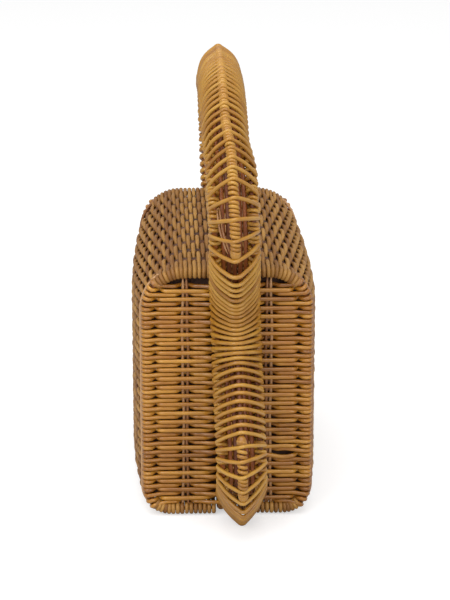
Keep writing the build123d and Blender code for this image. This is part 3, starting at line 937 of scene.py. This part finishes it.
def section_line(bow, top_round):
    """The wrap's line round the handle in section, as (y, rise) pairs from underside to underside."""
    top_rise = RIDGE_RISE + RIDGE_WRAP_ROUND - top_round
    apart = math.hypot(EDGE_ROD_Y, top_rise)
    to_edge = math.atan2(-top_rise, EDGE_ROD_Y)
    touch = to_edge + math.acos((top_round - EDGE_WRAP_ROUND) / apart)
    half = []
    for i in range(4):
        a = math.pi / 2 + (touch - math.pi / 2) * i / 3
        half.append((top_round * math.cos(a), top_rise + top_round * math.sin(a)))
    last = half[-1]
    first = (EDGE_ROD_Y + EDGE_WRAP_ROUND * math.cos(touch), EDGE_WRAP_ROUND * math.sin(touch))
    for i in range(1, 8):
        share = i / 8
        out = bow * math.sin(math.pi * share)
        half.append((
            last[0] + (first[0] - last[0]) * share + out * math.cos(touch),
            last[1] + (first[1] - last[1]) * share + out * math.sin(touch),
        ))
    for i in range(7):
        a = touch + (-math.pi / 2 - touch) * i / 6
        half.append((EDGE_ROD_Y + EDGE_WRAP_ROUND * math.cos(a), EDGE_WRAP_ROUND * math.sin(a)))
    half.append((EDGE_ROD_Y / 2, -EDGE_WRAP_ROUND))
    half.append((0.0, -EDGE_WRAP_ROUND))
    return half[::-1] + [(-y, rise) for y, rise in half[1:]]


wraps = Strands()
coils = Strands()
half_ways = [0.0]
while half_ways[-1] < half_length - 9.0:
    half_ways.append(half_ways[-1] + spacing_at(half_ways[-1]) * CHANCE.uniform(0.95, 1.05))
wrap_ways = [-way for way in reversed(half_ways[1:])] + half_ways
for way in wrap_ways:
    bare = smooth((abs(way) - BARE_FROM) / BARE_FADE) * (1 - smooth((abs(way) - BARE_TO) / BARE_FADE))
    shape = section_line(bow_at(way), RIDGE_WRAP_ROUND + (BARE_ROUND - RIDGE_WRAP_ROUND) * bare)
    slant = WRAP_SLANT * CHANCE.uniform(0.8, 1.2)
    line = []
    for i, (y, rise) in enumerate(shape):
        line.append(on_handle(way + slant * (i / (len(shape) - 1) - 0.5), y, rise))
    wraps.lay(line, COIL_RADIUS * CHANCE.uniform(0.97, 1.08), sides=8)
wraps.make("handle_wraps", "back_shell", handle_cane, ["handle_ridge"])


def coil_turn(way, y, rise, radius):
    """One turn of cane round a rod of the handle, from its inner side round to its inner side."""
    line = []
    for i in range(13):
        share = i / 12
        a = math.pi + 2 * math.pi * share
        step = COIL_ADVANCE * (share - 0.5)
        line.append(on_handle(way + step, y + radius * math.sin(a), rise + radius * math.cos(a)))
    coils.lay(line, COIL_RADIUS, sides=6)


def has_ridge_coil(way):
    """The ridge rod is wound over the hoop and in the lower lobes, and bare between."""
    return any(first <= abs(way) <= last for first, last in RIDGE_COILED)


# Turns of cane fill what is left of each rod between two wraps
for first, last in zip(wrap_ways, wrap_ways[1:]):
    for y, rise in ((0.0, RIDGE_RISE), (EDGE_ROD_Y, 0.0), (-EDGE_ROD_Y, 0.0)):
        gap = np.linalg.norm(on_handle(last, y, rise) - on_handle(first, y, rise))
        turns = round(gap / COIL_PITCH) - 1
        radius = RIDGE_WRAP_ROUND - 0.2 if rise else EDGE_WRAP_ROUND - 0.3
        for k in range(turns):
            way = first + (last - first) * (k + 1) / (turns + 1)
            if not rise or has_ridge_coil(way):
                coil_turn(way, y, rise, radius)

# The ridge's wound stretches end in rounded knobs, given by steps along them and shares of their radius
KNOB_STEPS = (-1.0, 0.4, 1.4, 2.1, 2.5)
KNOB_SHARES = (1.0, 0.97, 0.8, 0.5, 0.15)
for first, last in RIDGE_COILED:
    for way, onward in ((first, -1), (last, 1)):
        if way > 0:
            for side in (1, -1):
                line = [on_handle(side * (way + onward * step), 0.0, RIDGE_RISE) for step in KNOB_STEPS]
                coils.lay(line, np.array(KNOB_SHARES) * KNOB_RADIUS, sides=10)
coils.make("handle_coils", "back_shell", handle_cane)

rods = Strands()
for first, last in RIDGE_ROD_SPANS:
    line = [on_handle(way, 0.0, RIDGE_RISE) for way in np.linspace(first, last, 120)]
    rods.lay(line, RIDGE_CORE_RADIUS, sides=8, round_ends=True)
for y in (EDGE_ROD_Y, -EDGE_ROD_Y):
    line = [on_handle(way, y, 0.0) for way in np.linspace(-half_length, half_length, 260)]
    rods.lay(line, EDGE_CORE_RADIUS, sides=8, round_ends=True)
for k in range(-2, 3):
    reach = half_length - 2.0
    line = [on_handle(way, FILLER_APART * k, FILLER_RISE) for way in np.linspace(-reach, reach, 260)]
    rods.lay(line, FILLER_RADIUS, sides=8, round_ends=True)

# Two thin strands cross from the front edge towards the ridge at each end of the hoop
ties = Strands()
for side in (1, -1):
    for offset in (0.0, 1.5):
        start = on_handle(side * 130.0, -9.5 + offset, 3.0)
        end = on_handle(side * 150.0, -4.5 + offset, 13.0)
        sag = np.array((0.0, -TIE_SAG, 0.0))
        line = [start + (end - start) * t + sag * math.sin(math.pi * t) for t in np.linspace(0, 1, 12)]
        ties.lay(line, TIE_RADIUS, sides=6, round_ends=True)
ties.make("handle_ties", "back_shell", stake_cane)
rods.make(
    "handle_rods", "back_shell", core_cane, ["handle_edge_rod_front", "handle_edge_rod_back"]
)

# Hinge loops: figure-of-eight bindings of three strands round both bottom rims
for number, x in ((1, -HINGE_X), (2, HINGE_X)):
    loop = Strands()
    for offset in LOOP_STRAND_OFFSETS:
        line = []
        normals = []
        for i in range(41):
            a = 2 * math.pi * i / 40
            out = np.array((0.0, math.cos(a), math.sin(a)))
            centre = np.array((x + offset, RIM_Y if math.cos(a) >= 0 else -RIM_Y, RIM_Z_LOW))
            line.append(centre + LOOP_ROUND * out)
            normals.append(out)
        loop.lay(line, LOOP_WIDTH, LOOP_THICK, normals, sides=8)
    loop.make(f"hinge_binding_{number}", "front_shell", panel_cane, [f"hinge_loop_{number}"])


# Floor, light and camera

FLOOR_HALF = 3.0
floor_mesh = bpy.data.meshes.new("floor")
floor_mesh.from_pydata(
    [(-FLOOR_HALF, -FLOOR_HALF, 0), (FLOOR_HALF, -FLOOR_HALF, 0), (FLOOR_HALF, FLOOR_HALF, 0),
     (-FLOOR_HALF, FLOOR_HALF, 0)], [], [(0, 1, 2, 3)],
)
floor = bpy.data.objects.new("floor", floor_mesh)
bpy.context.scene.collection.objects.link(floor)
floor_material = bpy.data.materials.new("floor")
floor_material.use_nodes = True
nodes = floor_material.node_tree.nodes
link = floor_material.node_tree.links.new
paint = nodes["Principled BSDF"]
paint.inputs["Base Color"].default_value = (0.6, 0.6, 0.6, 1)
paint.inputs["Roughness"].default_value = 0.9
paint.inputs["Specular IOR Level"].default_value = 0.1
paint.inputs["Emission Color"].default_value = (1, 1, 1, 1)
seen = nodes.new("ShaderNodeLightPath")
glow = nodes.new("ShaderNodeMath")
glow.operation = "MULTIPLY"
glow.inputs[1].default_value = 0.55
link(seen.outputs["Is Camera Ray"], glow.inputs[0])
link(glow.outputs[0], paint.inputs["Emission Strength"])
floor_mesh.materials.append(floor_material)

world = bpy.data.worlds.new("studio")
bpy.context.scene.world = world
world.use_nodes = True
nodes = world.node_tree.nodes
link = world.node_tree.links.new
sky = nodes["Background"]
sky.inputs["Color"].default_value = (1, 1, 1, 1)
shown = nodes.new("ShaderNodeLightPath")
level = nodes.new("ShaderNodeMapRange")
level.inputs["To Min"].default_value = 0.55
level.inputs["To Max"].default_value = 1.0
link(shown.outputs["Is Camera Ray"], level.inputs["Value"])
link(level.outputs["Result"], sky.inputs["Strength"])


def soft_light(name, place, aim, size, watts):
    """A rectangular lamp at a place, turned towards an aim."""
    lamp = bpy.data.lights.new(name, "AREA")
    lamp.shape = "RECTANGLE"
    lamp.size, lamp.size_y = size
    lamp.energy = watts
    holder = bpy.data.objects.new(name, lamp)
    bpy.context.scene.collection.objects.link(holder)
    holder.location = place
    holder.rotation_mode = "QUATERNION"
    holder.rotation_quaternion = (Vector(aim) - Vector(place)).to_track_quat("-Z", "Y")


soft_light("overhead", (0.3, -0.1, 1.4), (0, 0, 0.1), (1.4, 1.4), 14.0)
soft_light("front_left", (1.3, -0.9, 0.9), (0, 0, 0.12), (0.8, 1.0), 9.0)
soft_light("front_right", (1.4, 0.9, 0.6), (0, 0, 0.12), (0.7, 0.9), 6.0)

CAMERA_PLACE = (1.412, -0.0455, 0.582)
CAMERA_DOWN = math.radians(18.475)
CAMERA_TURN = math.radians(1.916)
camera_data = bpy.data.cameras.new("camera")
camera_data.sensor_fit = "AUTO"
camera_data.sensor_width = 24.0
camera_data.lens = 93.5
camera = bpy.data.objects.new("camera", camera_data)
bpy.context.scene.collection.objects.link(camera)
camera.location = CAMERA_PLACE
camera.rotation_euler = (math.pi / 2 - CAMERA_DOWN, 0.0, math.pi / 2 - CAMERA_TURN)
bpy.context.scene.camera = camera
bpy.context.scene.view_settings.view_transform = "Standard"
